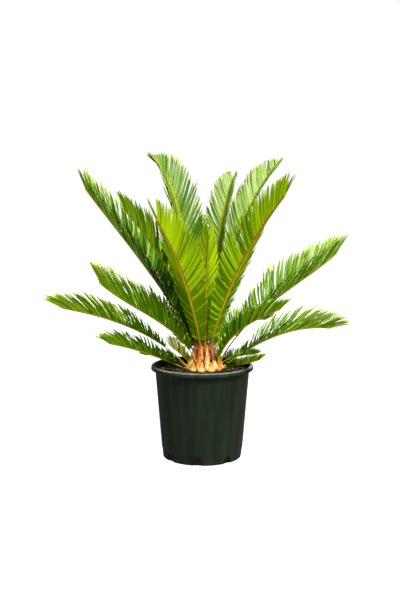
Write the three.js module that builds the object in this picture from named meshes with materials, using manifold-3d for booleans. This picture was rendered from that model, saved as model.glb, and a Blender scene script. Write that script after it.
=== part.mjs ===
// A sago palm in a plastic nursery pot, in millimetres with +Z up.
// The origin is the middle of the pot's flat underside, and the palm's front faces -Y.
import * as THREE from 'three';
import { mergeVertices } from 'three/addons/utils/BufferGeometryUtils.js';
import Module from 'manifold-3d';

const wasm = await Module();
wasm.setup();

// Clearances: a piece and its seat, a frond's foot and its socket, leaflets of two fronds,
// a leaflet and another frond's midrib
const SEAT_GAP = 0.3;
const SOCKET_GAP = 0.5;
const BLADE_GAP = 3.8;
const MIDRIB_GAP = 1.4;

// Room that leaflets leave round the trunk's stubs, and outside and above the pot's lip
const STUBS_REACH = 12;
const STUBS_TOP = 305;
const LIP_MARGIN = 5;
const LIP_HEADROOM = 3;

// Pot: a tapered tub with a rolled lip, a recessed foot band and drain notches round its foot
const POT_HEIGHT = 244;
const RIM_RADIUS = 135;
const NECK_RADIUS = 124.5;
const BASE_RADIUS = 105;
const LIP_HEIGHT = 11;
const LIP_ROUND = 2;
const FOOT_BAND_HEIGHT = 24;
const FOOT_BAND_STEP = 1;
const WALL = 3.5;
const POT_SIDES = 48;
const NOTCH_COUNT = 8;
const NOTCH_WIDTH = 21;
const NOTCH_HEIGHT = 20;
const NOTCH_DEPTH = 6;
const NOTCH_AZIMUTH = -97;

// Soil
const SOIL_TOP = 229;

// Trunk: a short stem with a blunt domed tip, wrapped in the stubs of old leaves
const TRUNK_X = 6;
const TRUNK_SIDES = 24;
const TRUNK_FOOT = SOIL_TOP + SEAT_GAP;
const TRUNK_PROFILE = [
  [50, TRUNK_FOOT],
  [46, 236],
  [36, 246],
  [29, 258],
  [26, 270],
  [24, 280],
  [18, 286],
  [0, 291],
];

// Stubs: rows of [height of the foot, stubs in the row, length, outward lean in degrees, width]
const STUB_ROWS = [
  [231, 11, 30, -6, 25],
  [236, 11, 48, -14, 21],
  [246, 9, 52, -8, 18],
  [257, 8, 43, -4, 14],
];

// A stub's outline, swollen low down and drawn out to a point: [share of its length, part of its width]
const STUB_SHAPE = [
  [0, 0.8],
  [0.15, 1],
  [0.42, 0.6],
  [0.85, 0.5],
  [1, 0],
];
const STUB_SIDES = 5;
const STUB_FLATNESS = 0.55;
const STUB_SINK = 2.5;
const STUB_CROWDED = 7;
const SOCKET_LENGTH = 54;
const SOCKET_PARTS = 3;
const SOCKET_OVERLAP = 1.3;

// Fronds, one row each. Angles are in degrees and lengths in millimetres.
// heading: the way the frond points, anticlockwise from +X.
// turn: how far round the trunk its foot sits from that heading.
// seat: the height of its foot.
// rise, middle, end: the midrib's slope at its foot, halfway and at its tip.
// length: the midrib's. leaflet: the longest leaflet's. bare: the midrib's share below the leaflets.
// habit: how its leaflets stand.
const FROND_FIELDS = [
  'heading', 'turn', 'seat', 'rise', 'middle', 'end', 'length', 'leaflet', 'bare', 'habit',
];
const FROND_ROWS = [
  [236, 4, 284, 78, 60, 49, 398, 104, 0.09, 'young'],
  [-47, 0, 284, 72, 57, 45, 482, 104, 0.09, 'young'],
  [278, -2, 284, 87, 80, 66, 315, 64, 0.12, 'young'],
  [124, 7, 284, 64, 75, 22, 583, 112, 0.12, 'swept'],
  [46, -5, 284, 84, 60, 38, 588, 94, 0.12, 'upright'],
  [56, 22, 284, 76, 77, 56, 482, 84, 0.12, 'upright'],
  [165, 2, 282, 64, 52, 52, 526, 112, 0.1, 'open'],
  [200, 4, 283, 81, 61, 48, 425, 98, 0.12, 'open'],
  [24, -5, 242, 62, 33, 37, 470, 118, 0.2, 'raised'],
  [-20, -15, 241, 86, 39, 25, 244, 78, 0.14, 'open'],
  [2, 0, 235, 38, 22, -7, 315, 108, 0.2, 'open'],
  [200, 15, 234, 52, 26, 13, 386, 104, 0.26, 'open'],
  [186, 44, 252, 70, 33, 44, 336, 112, 0.14, 'raised'],
  [212, -15, 234, 24, 22, 14, 244, 84, 0.2, 'open'],
  [-44, 16, 234, 30, 14, 26, 144, 46, 0.12, 'open'],
  [194, 6, 247, 45, 41, 37, 80, 50, 0.14, 'raised'],
  [94, 13, 273, 72, 58, 34, 408, 95, 0.12, 'open'],
  [142, 3, 275, 66, 52, 38, 400, 95, 0.12, 'open'],
  [54, 6, 262, 42, 12, -8, 305, 85, 0.14, 'open'],
  [134, -4, 260, 46, 24, 8, 300, 85, 0.14, 'open'],
  [106, 0, 247, 50, 26, -2, 380, 100, 0.14, 'open'],
  [38, 5, 236, 20, 6, -6, 140, 46, 0.16, 'open'],
  [166, 0, 236, 32, 12, -2, 124, 42, 0.16, 'open'],
];
const FRONDS = FROND_ROWS.map((row) => Object.fromEntries(row.map((value, i) => [FROND_FIELDS[i], value])));

// How leaflets stand, first at the foot of the leafy stretch and then at its tip, in degrees: their
// angle to the midrib, and their lift from flat into a V. first, last: the length of the first and
// the last one, as a share of the longest's. full: where along the leafy stretch they reach that.
// late: how late along the tip they shorten.
const HABITS = {
  young: { angle: [72, 26], lift: [-2, 58], first: 0.2, full: 0.5, last: 0.62, late: 1.5 },
  open: { angle: [76, 26], lift: [14, 58], first: 0.4, full: 0.3, last: 0.62, late: 1.5 },
  raised: { angle: [74, 31], lift: [34, 60], first: 0.3, full: 0.35, last: 0.6, late: 2 },
  upright: { angle: [43, 38], lift: [36, 44], first: 0.4, full: 0.3, last: 0.28, late: 2.5 },
  swept: { angle: [46, 25], lift: [36, 40], first: 0.4, full: 0.3, last: 0.25, late: 2 },
};

// Leaflets: pairs of pointed strips
const LEAFLET_SPACING_SHARE = 0.24;
const LEAFLET_SPACING_LIMITS = [13, 25];
const LEAFLET_ROOT_SHARE = 0.6;
const LEAFLET_MIDDLE_SHARE = 0.76;
const LEAFLET_THICKNESS = 1.6;
const LEAFLET_LIFT_POWER = 0.8;
const LEAFLET_BEND = 0.25;
const LAST_LEAFLET_SETBACK = 0.4;
const SHORTER_TRIES = [1, 0.85, 0.7, 0.55, 0.4];

// Where along the leafy stretch they begin to shorten
const FULL_TO = 0.6;

// Midribs: their width where they leave the trunk, above that, and at the tip
const MIDRIB_FOOT_WIDTH = 10;
const MIDRIB_WIDTH = 7;
const MIDRIB_TIP_WIDTH = 2.6;
const MIDRIB_FLARE = 22;
const MIDRIB_FLATNESS = 0.62;
const MIDRIB_SINK = 6;
const MIDRIB_STEPS = 80;

const UP = new THREE.Vector3(0, 0, 1);
const radians = THREE.MathUtils.degToRad;
const lerp = THREE.MathUtils.lerp;

const material = (color, roughness) => new THREE.MeshStandardMaterial({ color, roughness, metalness: 0 });

const MATERIALS = {
  pot: () => material(0x232d25, 0.5),
  soil: () => material(0x3b221a, 0.95),
  trunk: () => material(0xc88a52, 0.8),
  frond: () => material(0x5c9618, 0.45),
};

// A closed geometry as a solid that can be cut and joined
function toSolid(geometry) {
  geometry.deleteAttribute('normal');
  geometry.deleteAttribute('uv');
  const merged = mergeVertices(geometry, 1e-4);
  const vertProperties = Float32Array.from(merged.attributes.position.array);
  const triVerts = Uint32Array.from(merged.index.array);
  return new wasm.Manifold(new wasm.Mesh({ numProp: 3, vertProperties, triVerts }));
}

function toGeometry(solid) {
  const mesh = solid.getMesh();
  const geometry = new THREE.BufferGeometry();
  geometry.setAttribute('position', new THREE.BufferAttribute(Float32Array.from(mesh.vertProperties), 3));
  geometry.setIndex(new THREE.BufferAttribute(Uint32Array.from(mesh.triVerts), 1));
  geometry.computeVertexNormals();
  return geometry;
}

// Turns [radius, height] points, listed upwards along the outside, about the Z axis
function lathe(points, sides) {
  const profile = points.map(([radius, height]) => new THREE.Vector2(radius, height));
  return new THREE.LatheGeometry(profile, sides).rotateX(Math.PI / 2);
}

// The pot's outer radius at a height on its tapered wall
function potRadius(height) {
  return lerp(BASE_RADIUS, NECK_RADIUS, height / (POT_HEIGHT - LIP_HEIGHT));
}

function potGeometry() {
  const lipFoot = POT_HEIGHT - LIP_HEIGHT;
  const mouth = NECK_RADIUS + 0.5;
  const shell = toSolid(lathe([
    [0, 0],
    [BASE_RADIUS - FOOT_BAND_STEP, 0],
    [potRadius(FOOT_BAND_HEIGHT) - FOOT_BAND_STEP, FOOT_BAND_HEIGHT],
    [potRadius(FOOT_BAND_HEIGHT), FOOT_BAND_HEIGHT + FOOT_BAND_STEP],
    [NECK_RADIUS, lipFoot],
    [RIM_RADIUS - LIP_ROUND, lipFoot],
    [RIM_RADIUS, lipFoot + LIP_ROUND],
    [RIM_RADIUS, POT_HEIGHT - LIP_ROUND],
    [RIM_RADIUS - LIP_ROUND, POT_HEIGHT],
    [mouth + LIP_ROUND, POT_HEIGHT],
    [mouth, POT_HEIGHT - LIP_ROUND],
    [NECK_RADIUS - WALL, lipFoot],
    [potRadius(WALL) - WALL, WALL],
    [0, WALL],
  ], POT_SIDES));
  let pot = shell;
  for (let i = 0; i < NOTCH_COUNT; i++) {
    const angle = radians(NOTCH_AZIMUTH + (360 / NOTCH_COUNT) * i);
    const notch = new THREE.BoxGeometry(NOTCH_DEPTH * 2, NOTCH_WIDTH, NOTCH_HEIGHT * 2)
      .translate(BASE_RADIUS, 0, 0)
      .rotateZ(angle);
    pot = pot.subtract(toSolid(notch));
  }
  return toGeometry(pot);
}

// The soil fills the pot, clear of its wall and floor
function soilGeometry() {
  const foot = WALL + SEAT_GAP;
  const inset = WALL + SEAT_GAP * 1.5;
  return toGeometry(toSolid(lathe([
    [0, foot],
    [potRadius(foot) - inset, foot],
    [potRadius(SOIL_TOP) - inset, SOIL_TOP],
    [0, SOIL_TOP],
  ], POT_SIDES)));
}

// The trunk's radius at a height
function trunkRadius(height) {
  for (let i = 1; i < TRUNK_PROFILE.length; i++) {
    const [lowRadius, low] = TRUNK_PROFILE[i - 1];
    const [highRadius, high] = TRUNK_PROFILE[i];
    if (height <= high) {
      return lerp(lowRadius, highRadius, (height - low) / (high - low));
    }
  }
  return 0;
}

// The bare stem, as its outline grown outwards by a clearance
function stemOutline(grow) {
  const last = TRUNK_PROFILE.length - 1;
  return TRUNK_PROFILE.map(([radius, height], i) => {
    if (i === last) {
      return [0, height + grow];
    }
    return [radius + grow, i === 0 ? height : height + grow * 0.7];
  });
}

const stemSolid = () => toSolid(
  lathe([[0, TRUNK_FOOT], ...stemOutline(0)], TRUNK_SIDES).translate(TRUNK_X, 0, 0),
);

// Everything that a frond's foot stays clear of: the stem and the soil round it
function seatSolid() {
  const depth = 40;
  const apron = 100;
  return toSolid(lathe([
    [0, TRUNK_FOOT - depth],
    [apron, TRUNK_FOOT - depth],
    [apron, TRUNK_FOOT],
    ...stemOutline(SEAT_GAP),
  ], TRUNK_SIDES).translate(TRUNK_X, 0, 0));
}

// The midrib's slope and heading at a share of its length
function midribAngles(frond, share) {
  const slope = frond.rise * (1 - share) * (1 - 2 * share)
    + frond.middle * 4 * share * (1 - share)
    + frond.end * share * (2 * share - 1);
  return [radians(slope), radians(frond.heading)];
}

// The midrib's directions at a share of its length: onwards, to its left, and up across it
function midribFrame(frond, share) {
  const [slope, heading] = midribAngles(frond, share);
  const onward = new THREE.Vector3(
    Math.cos(slope) * Math.cos(heading),
    Math.cos(slope) * Math.sin(heading),
    Math.sin(slope),
  );
  const left = new THREE.Vector3().crossVectors(UP, onward).normalize();
  const across = new THREE.Vector3().crossVectors(onward, left);
  return { onward, left, across };
}

// Points along the midrib, from inside the trunk to its tip
function midribPoints(frond) {
  const azimuth = radians(frond.heading + frond.turn);
  const reach = trunkRadius(frond.seat);
  const seat = new THREE.Vector3(TRUNK_X + reach * Math.cos(azimuth), reach * Math.sin(azimuth), frond.seat);
  const point = seat.addScaledVector(midribFrame(frond, 0).onward, -MIDRIB_SINK);
  const step = (frond.length + MIDRIB_SINK) / MIDRIB_STEPS;
  const points = [point.clone()];
  for (let i = 0; i < MIDRIB_STEPS; i++) {
    point.addScaledVector(midribFrame(frond, (i + 0.5) / MIDRIB_STEPS).onward, step);
    points.push(point.clone());
  }
  return points;
}

// The midrib's place at a share of its length
function midribPoint(frond, share) {
  const place = THREE.MathUtils.clamp(share, 0, 1) * MIDRIB_STEPS;
  const low = Math.min(Math.floor(place), MIDRIB_STEPS - 1);
  return frond.points[low].clone().lerp(frond.points[low + 1], place - low);
}

function midribWidth(frond, share) {
  const flare = (MIDRIB_FOOT_WIDTH - MIDRIB_WIDTH) * Math.exp((-share * frond.length) / MIDRIB_FLARE);
  return lerp(MIDRIB_WIDTH, MIDRIB_TIP_WIDTH, share) + flare;
}

// The distance between leaflets along the midrib, closer on a frond of short leaflets
function leafletSpacing(frond) {
  return THREE.MathUtils.clamp(frond.leaflet * LEAFLET_SPACING_SHARE, ...LEAFLET_SPACING_LIMITS);
}

// A leaflet's length at its share of the leafy stretch, as part of the longest one's
function leafletTaper(habit, along) {
  if (along < habit.full) {
    return lerp(habit.first, 1, along / habit.full);
  }
  if (along < FULL_TO) {
    return 1;
  }
  return lerp(1, habit.last, ((along - FULL_TO) / (1 - FULL_TO)) ** habit.late);
}

// Where along the midrib a leaflet stands, from its share of the leafy stretch
function leafletShare(frond, along) {
  return lerp(frond.bare, 1 - LAST_LEAFLET_SETBACK * (leafletSpacing(frond) / frond.length), along);
}

// One leaflet's middle line and width. side is 1 on the left of the midrib and -1 on its right.
function leafletShape(frond, along, side, stretch) {
  const habit = HABITS[frond.habit];
  const share = leafletShare(frond, along);
  const { onward, left, across } = midribFrame(frond, share);
  const angle = radians(lerp(...habit.angle, along));
  const lift = radians(lerp(...habit.lift, along ** LEAFLET_LIFT_POWER));
  const outward = left.clone().multiplyScalar(side * Math.cos(lift)).addScaledVector(across, Math.sin(lift));
  const first = onward.clone().multiplyScalar(Math.cos(angle)).addScaledVector(outward, Math.sin(angle));
  const second = first.clone().addScaledVector(onward, LEAFLET_BEND).normalize();
  const half = (frond.leaflet * leafletTaper(habit, along) * stretch) / 2;
  const root = midribPoint(frond, share);
  const middle = root.clone().addScaledVector(first, half);
  const tip = middle.clone().addScaledVector(second, half);
  const face = new THREE.Vector3().crossVectors(onward, first).normalize();
  if (face.dot(across) < 0) {
    face.negate();
  }
  return { side, onward, face, root, middle, tip, spacing: leafletSpacing(frond) };
}

// The leaflet's middle surface: a strip from root to middle and a point beyond
function bladeOf(leaflet) {
  const { onward, root, middle, tip, spacing } = leaflet;
  const rootHalf = (spacing * LEAFLET_ROOT_SHARE) / 2;
  const middleHalf = (spacing * LEAFLET_MIDDLE_SHARE) / 2;
  const corners = [
    root.clone().addScaledVector(onward, -rootHalf),
    root.clone().addScaledVector(onward, rootHalf),
    middle.clone().addScaledVector(onward, middleHalf),
    middle.clone().addScaledVector(onward, -middleHalf),
    tip,
  ];
  const pick = (...places) => places.map((i) => corners[i]);
  return {
    corners,
    centre: middle,
    reach: Math.max(...corners.map((corner) => corner.distanceTo(middle))),
    edges: [pick(0, 1), pick(1, 2), pick(2, 3), pick(3, 0), pick(2, 4), pick(3, 4)],
    triangles: [pick(0, 1, 2), pick(0, 2, 3), pick(3, 2, 4)].map((three) => new THREE.Triangle(...three)),
  };
}

// The shortest distance between the segments a-b and c-d
function segmentGap([a, b], [c, d]) {
  const u = b.clone().sub(a);
  const v = d.clone().sub(c);
  const w = a.clone().sub(c);
  const uu = u.dot(u);
  const uv = u.dot(v);
  const vv = v.dot(v);
  const uw = u.dot(w);
  const vw = v.dot(w);
  const clamp = (value) => THREE.MathUtils.clamp(value, 0, 1);
  const spread = uu * vv - uv * uv;
  let s = spread > 1e-9 ? clamp((uv * vw - vv * uw) / spread) : 0;
  const t = clamp((uv * s + vw) / vv);
  s = clamp((uv * t - uw) / uu);
  return a.clone().addScaledVector(u, s).distanceTo(c.clone().addScaledVector(v, t));
}

// Whether the segment a-b passes through a triangle
function pierces([a, b], triangle) {
  const direction = b.clone().sub(a);
  const length = direction.length();
  const ray = new THREE.Ray(a, direction.divideScalar(length));
  const hit = ray.intersectTriangle(triangle.a, triangle.b, triangle.c, false, new THREE.Vector3());
  return hit !== null && hit.distanceTo(a) <= length;
}

function triangleGap(corner, triangle) {
  return triangle.closestPointToPoint(corner, new THREE.Vector3()).distanceTo(corner);
}

// Whether two flat shapes of corners, edges and triangles come closer than a gap
function tooClose(one, other, gap) {
  if (one.centre.distanceTo(other.centre) > one.reach + other.reach + gap) {
    return false;
  }
  return one.edges.some((edge) => other.edges.some((twin) => segmentGap(edge, twin) < gap))
    || one.edges.some((edge) => other.triangles.some((triangle) => pierces(edge, triangle)))
    || other.edges.some((edge) => one.triangles.some((triangle) => pierces(edge, triangle)))
    || one.corners.some((corner) => other.triangles.some((triangle) => triangleGap(corner, triangle) < gap))
    || other.corners.some((corner) => one.triangles.some((triangle) => triangleGap(corner, triangle) < gap));
}

// The midrib as a chain of thick segments, for keeping leaflets of other fronds away
function midribLinks(frond) {
  const count = 12;
  const links = [];
  for (let i = 0; i < count; i++) {
    const ends = [midribPoint(frond, i / count), midribPoint(frond, (i + 1) / count)];
    links.push({
      corners: ends,
      centre: ends[0].clone().lerp(ends[1], 0.5),
      reach: ends[0].distanceTo(ends[1]) / 2,
      edges: [ends],
      triangles: [],
      gap: midribWidth(frond, i / count) / 2 + LEAFLET_THICKNESS + MIDRIB_GAP,
    });
  }
  return links;
}

// Whether a leaflet stays off the trunk's stubs, the soil and the pot's lip
function clearOfPot(blade) {
  return blade.corners.every((corner) => {
    const stubsRadius = trunkRadius(Math.max(corner.z - STUBS_REACH, TRUNK_FOOT)) + STUBS_REACH;
    const amongStubs = Math.hypot(corner.x - TRUNK_X, corner.y) < stubsRadius && corner.z < STUBS_TOP;
    const overPot = Math.hypot(corner.x, corner.y) < RIM_RADIUS + LIP_MARGIN;
    return !amongStubs && !(overPot && corner.z < POT_HEIGHT + LIP_HEADROOM);
  });
}

// Gives each frond its leaflets, shorter or left out where another frond is in the way
function growLeaflets(fronds) {
  const kept = [];
  for (const frond of fronds) {
    const otherLinks = fronds.filter((other) => other !== frond).flatMap((other) => other.links);
    const count = Math.round((frond.length * (1 - frond.bare)) / leafletSpacing(frond));
    const isFree = (blade) => clearOfPot(blade)
      && !otherLinks.some((link) => tooClose(blade, link, link.gap))
      && !kept.some((other) => other.frond !== frond && tooClose(blade, other, BLADE_GAP));
    const grow = (along, side) => {
      for (const stretch of SHORTER_TRIES) {
        const leaflet = leafletShape(frond, along, side, stretch);
        const blade = bladeOf(leaflet);
        if (isFree(blade)) {
          kept.push({ ...blade, frond });
          return leaflet;
        }
      }
      return null;
    };
    frond.pairs = Array.from({ length: count }, (_, i) => {
      const along = i / (count - 1);
      return { share: leafletShare(frond, along), left: grow(along, 1), right: grow(along, -1) };
    });
  }
}

// One frond as a single closed skin: a four-sided midrib whose side faces open into the leaflets
function frondGeometry(frond) {
  const positions = [];
  const faces = [];
  const addPoint = (point) => positions.push(point.x, point.y, point.z) / 3 - 1;
  const addQuad = (a, b, c, d) => faces.push(a, b, c, a, c, d);

  const addSection = (share) => {
    const { left, across } = midribFrame(frond, share);
    const centre = midribPoint(frond, share);
    const halfWidth = midribWidth(frond, share) / 2;
    const halfHeight = halfWidth * MIDRIB_FLATNESS;
    return [[1, 1], [-1, 1], [-1, -1], [1, -1]].map(([x, y]) => addPoint(
      centre.clone().addScaledVector(left, x * halfWidth).addScaledVector(across, y * halfHeight),
    ));
  };

  const addLeaflet = (leaflet, ring) => {
    const half = (leaflet.spacing * LEAFLET_MIDDLE_SHARE) / 2;
    const middleRing = [[-1, -1], [-1, 1], [1, 1], [1, -1]].map(([x, y]) => addPoint(
      leaflet.middle.clone()
        .addScaledVector(leaflet.onward, x * half)
        .addScaledVector(leaflet.face, (leaflet.side * y * LEAFLET_THICKNESS) / 2),
    ));
    const tip = addPoint(leaflet.tip);
    for (let i = 0; i < 4; i++) {
      const next = (i + 1) % 4;
      addQuad(ring[i], ring[next], middleRing[next], middleRing[i]);
      faces.push(middleRing[i], middleRing[next], tip);
    }
  };

  const rootHalf = (leafletSpacing(frond) * LEAFLET_ROOT_SHARE) / 2 / frond.length;
  const bareSections = [0, 0.02, 0.06].filter((share) => share < frond.bare - rootHalf - 0.01);
  let section = addSection(0);
  addQuad(section[0], section[3], section[2], section[1]);
  const advance = (share, rightLeaflet, leftLeaflet) => {
    const next = addSection(share);
    for (let i = 0; i < 4; i++) {
      const j = (i + 1) % 4;
      const leaflet = { 1: rightLeaflet, 3: leftLeaflet }[i];
      if (leaflet) {
        addLeaflet(leaflet, [section[i], section[j], next[j], next[i]]);
      } else {
        addQuad(section[i], section[j], next[j], next[i]);
      }
    }
    section = next;
  };
  bareSections.slice(1).forEach((share) => advance(share));
  for (const { share, left, right } of frond.pairs) {
    advance(share - rootHalf);
    advance(share + rootHalf, right, left);
  }
  addQuad(section[0], section[1], section[2], section[3]);

  const geometry = new THREE.BufferGeometry();
  geometry.setAttribute('position', new THREE.Float32BufferAttribute(positions, 3));
  geometry.setIndex(faces);
  return toGeometry(toSolid(geometry).subtract(seatSolid()));
}

// The foot of a midrib, grown by a clearance, as boxes end to end that cut its socket among the stubs
function socketSolid(frond) {
  const step = SOCKET_LENGTH / SOCKET_PARTS;
  const width = MIDRIB_FOOT_WIDTH + SOCKET_GAP * 2;
  const height = MIDRIB_FOOT_WIDTH * MIDRIB_FLATNESS + SOCKET_GAP * 4;
  const boxes = Array.from({ length: SOCKET_PARTS }, (_, i) => {
    const share = ((i + 0.5) * step) / frond.length;
    const { onward, left, across } = midribFrame(frond, share);
    const middle = midribPoint(frond, share);
    const turn = new THREE.Matrix4().makeBasis(left, across, onward);
    return toSolid(new THREE.BoxGeometry(width, height, step * SOCKET_OVERLAP)
      .applyMatrix4(turn)
      .translate(middle.x, middle.y, middle.z));
  });
  return wasm.Manifold.union(boxes);
}

// Each stub's foot and tip, row by row, with every other row turned by half a step
function stubLines() {
  return STUB_ROWS.flatMap(([height, count, length, lean, width], row) => {
    const reach = trunkRadius(height);
    return Array.from({ length: count }, (_, i) => {
      const azimuth = ((i + (row % 2) / 2) / count) * Math.PI * 2;
      const outward = new THREE.Vector3(Math.cos(azimuth), Math.sin(azimuth), 0);
      const along = UP.clone()
        .multiplyScalar(Math.cos(radians(lean)))
        .addScaledVector(outward, Math.sin(radians(lean)));
      const foot = new THREE.Vector3(TRUNK_X, 0, height).addScaledVector(outward, reach - STUB_SINK);
      return { foot, tip: foot.clone().addScaledVector(along, length), along, outward, length, width };
    });
  });
}

function stubSolid({ foot, along, outward, length, width }) {
  const sideways = new THREE.Vector3().crossVectors(along, outward).normalize();
  const depth = new THREE.Vector3().crossVectors(sideways, along);
  const turn = new THREE.Matrix4().makeBasis(depth, along, sideways.negate());
  const outline = STUB_SHAPE.map(([share, part]) => new THREE.Vector2((part * width) / 2, share * length));
  return toSolid(new THREE.LatheGeometry([new THREE.Vector2(0, 0), ...outline], STUB_SIDES)
    .scale(STUB_FLATNESS, 1, 1)
    .applyMatrix4(turn)
    .translate(foot.x, foot.y, foot.z));
}

// The stem with its stubs fused on, and a socket in them for each frond's foot
function trunkGeometry(fronds) {
  const midribFeet = fronds.map((frond) => (
    [midribPoint(frond, 0), midribPoint(frond, SOCKET_LENGTH / frond.length)]
  ));
  let stubs = null;
  for (const line of stubLines()) {
    if (midribFeet.some((midrib) => segmentGap(midrib, [line.foot, line.tip]) < STUB_CROWDED)) {
      continue;
    }
    const solid = stubSolid(line);
    stubs = stubs ? stubs.add(solid) : solid;
  }
  for (const frond of fronds) {
    stubs = stubs.subtract(socketSolid(frond));
  }
  const joined = stemSolid().add(stubs);
  const pieces = joined.decompose();
  pieces.sort((one, other) => other.volume() - one.volume());
  return toGeometry(pieces[0]);
}

const group = new THREE.Group();

function addMesh(name, geometry, look) {
  const mesh = new THREE.Mesh(geometry, look());
  mesh.name = name;
  group.add(mesh);
}

for (const frond of FRONDS) {
  frond.points = midribPoints(frond);
  frond.links = midribLinks(frond);
}
growLeaflets(FRONDS);

addMesh('pot', potGeometry(), MATERIALS.pot);
addMesh('soil', soilGeometry(), MATERIALS.soil);
addMesh('trunk', trunkGeometry(FRONDS), MATERIALS.trunk);
FRONDS.forEach((frond, i) => {
  addMesh(`frond_${String(i + 1).padStart(2, '0')}`, frondGeometry(frond), MATERIALS.frond);
});

export default group;
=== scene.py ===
# A sago palm in a plastic nursery pot, in metres with +Z up and the palm's front towards -Y.
import random
from math import cos, exp, hypot, pi, radians, sin, sqrt

import bmesh
import bpy
from mathutils import Euler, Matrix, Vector, noise
from mathutils.bvhtree import BVHTree


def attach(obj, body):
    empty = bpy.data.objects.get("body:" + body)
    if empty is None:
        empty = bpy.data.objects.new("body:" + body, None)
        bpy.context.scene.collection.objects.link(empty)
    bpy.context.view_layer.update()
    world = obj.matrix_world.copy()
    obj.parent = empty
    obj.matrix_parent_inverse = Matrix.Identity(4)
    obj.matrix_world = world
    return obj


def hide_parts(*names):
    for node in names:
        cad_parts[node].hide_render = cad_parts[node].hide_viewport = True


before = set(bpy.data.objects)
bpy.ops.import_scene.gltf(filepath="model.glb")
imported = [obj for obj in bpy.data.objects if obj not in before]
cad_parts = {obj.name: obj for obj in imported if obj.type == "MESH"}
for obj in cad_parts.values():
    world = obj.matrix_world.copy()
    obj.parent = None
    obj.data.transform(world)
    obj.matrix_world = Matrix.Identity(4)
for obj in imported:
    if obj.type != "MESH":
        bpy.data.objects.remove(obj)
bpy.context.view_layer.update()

BODY = "root"
SEED = 11
UP = Vector((0, 0, 1))
# The gap between a piece and its seat
SEAT_GAP = 0.0003

# Pot
POT_HEIGHT = 0.244
RIM_RADIUS = 0.135
NECK_RADIUS = 0.1245
BASE_RADIUS = 0.105
FOOT_ROUND = 0.002
# The band round the foot: its step inwards, and how far below and above its height the step runs
FOOT_BAND_HEIGHT = 0.024
FOOT_BAND_STEP = 0.001
FOOT_BAND_EDGE = (0.0004, 0.0006)
# The lip: the fillet under it, its rounded lower edge, and its roll with a small step below it
LIP_HEIGHT = 0.011
LIP_FILLET = 0.003
LIP_FILLET_RADII = (-0.0002, 0.0012)
LIP_ROUND = 0.0015
LIP_ROLL = 0.0024
LIP_ROLL_STEPS = 7
LIP_STEP = 0.0008
LIP_STEP_ROLLS = (2.1, 1.9)
# Inside the lip: how far past the neck's radius its roll ends, and how far below it the wall starts
MOUTH_STEP = 0.0005
MOUTH_DROP = 0.001
WALL = 0.0035
WALL_STEPS = 12
POT_SIDES = 160
POT_CREASE = 35
NOTCH_COUNT = 8
NOTCH_WIDTH = 0.021
NOTCH_HEIGHT = 0.020
NOTCH_DEPTH = 0.006
NOTCH_ROUND = 0.006
NOTCH_AZIMUTH = -97
# The underside: recessed inside a foot ring, with low rings of one section as (outwards, down)
UNDERSIDE_RECESS = 0.0018
UNDERSIDE_RINGS = [0.030, 0.060]
UNDERSIDE_RING = [(0, 0), (0.001, 0.0008), (0.003, 0.0008), (0.004, 0)]
FOOT_RING_RADIUS = 0.090
FOOT_RING_SLOPE = 0.0015
# The lip's painted light: the radii between which it sets in, and its colours from the lip's foot to its top,
# dark at the foot as painted shade and pale along the top as a painted highlight
LIP_PAINTED_LIGHT_RADII = (0.1265, 0.1285)
LIP_PAINTED_LIGHT_STOPS = [
    (0.0, "182016"), (0.16, "222A20"), (0.3, "2A3228"), (0.7, "363E32"), (0.86, "565E50"), (0.96, "989E92"),
]

# Soil
SOIL_TOP = 0.229
SOIL_CLEARANCE = 0.00045
SOIL_SHOULDER = 0.004
SOIL_RINGS = 30
SOIL_SIDES = 120
# The ripples of its top, as (height, how many to a metre), and how near its edge they come
SOIL_RIPPLES = [(0.0022, 70), (0.0011, 190)]
RIPPLE_MARGIN = 0.001

# Bits of bark on the soil, mostly small. Their thickness, half width and the rise of their middle are
# shares of their size or thickness. kinds: how many are dark, red and tan. levels: (height, width).
CHIP_COUNT = 1500
CHIP_SIZES = (0.003, 0.0085)
CHIP_SMALLNESS = 2.2
CHIP_SIDES = 7
CHIP_THICKNESS = (0.22, 0.42)
CHIP_HALF_WIDTH = (0.34, 0.6)
CHIP_SLIMNESS = 0.62
CHIP_RISE = (0.2, 0.9)
CHIP_TILT = 0.28
CHIP_KINDS = (5, 4, 1.4)
CHIP_TONES = [("dark", "140E09", "33261A"), ("red", "33211A", "684A36"), ("tan", "5A4430", "9A8058")]
CHIP_LEVELS = ((-0.5, 0.8), (0.0, 1.0), (0.5, 0.72))
CHIP_WALL_MARGIN = 0.006
CHIP_TRUNK_MARGIN = 0.002

# Trunk: a short stem with a blunt domed tip, wrapped in the stubs of old leaves
TRUNK_X = 0.006
TRUNK_SIDES = 48
TRUNK_RINGS = 26
# The ripples of its side: a share of its radius, and how many to a metre
TRUNK_RIPPLE = 0.03
TRUNK_RIPPLE_COUNT = 90
TRUNK_FOOT = SOIL_TOP + SEAT_GAP
# Its outline as (radius, height)
TRUNK_PROFILE = [
    (0.050, TRUNK_FOOT), (0.046, 0.236), (0.036, 0.246), (0.029, 0.258), (0.026, 0.270), (0.024, 0.280),
    (0.018, 0.286), (0.0, 0.291),
]

# Stubs: rows of (height of the foot, stubs in the row, length, outward lean in degrees, width)
STUB_ROWS = [
    (0.231, 11, 0.030, -6, 0.025),
    (0.236, 11, 0.048, -14, 0.021),
    (0.246, 9, 0.052, -8, 0.018),
    (0.257, 8, 0.043, -4, 0.014),
]
# A stub's outline, swollen low down and drawn out to a point: (share of its length, part of its width)
STUB_SHAPE = [(0, 0.8), (0.15, 1), (0.3, 0.8), (0.42, 0.56), (0.6, 0.48), (0.85, 0.42), (1, 0)]
STUB_RINGS = 18
STUB_SIDES = 14
STUB_LAST_RING = 0.975
# Its depth as part of its width, the parts of that left at its point and on its inner side, and how
# deep its foot sinks into the stem
STUB_FLATNESS = 0.55
STUB_THINNING = 0.8
STUB_BACK = 0.6
STUB_SINK = 0.0025
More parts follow.
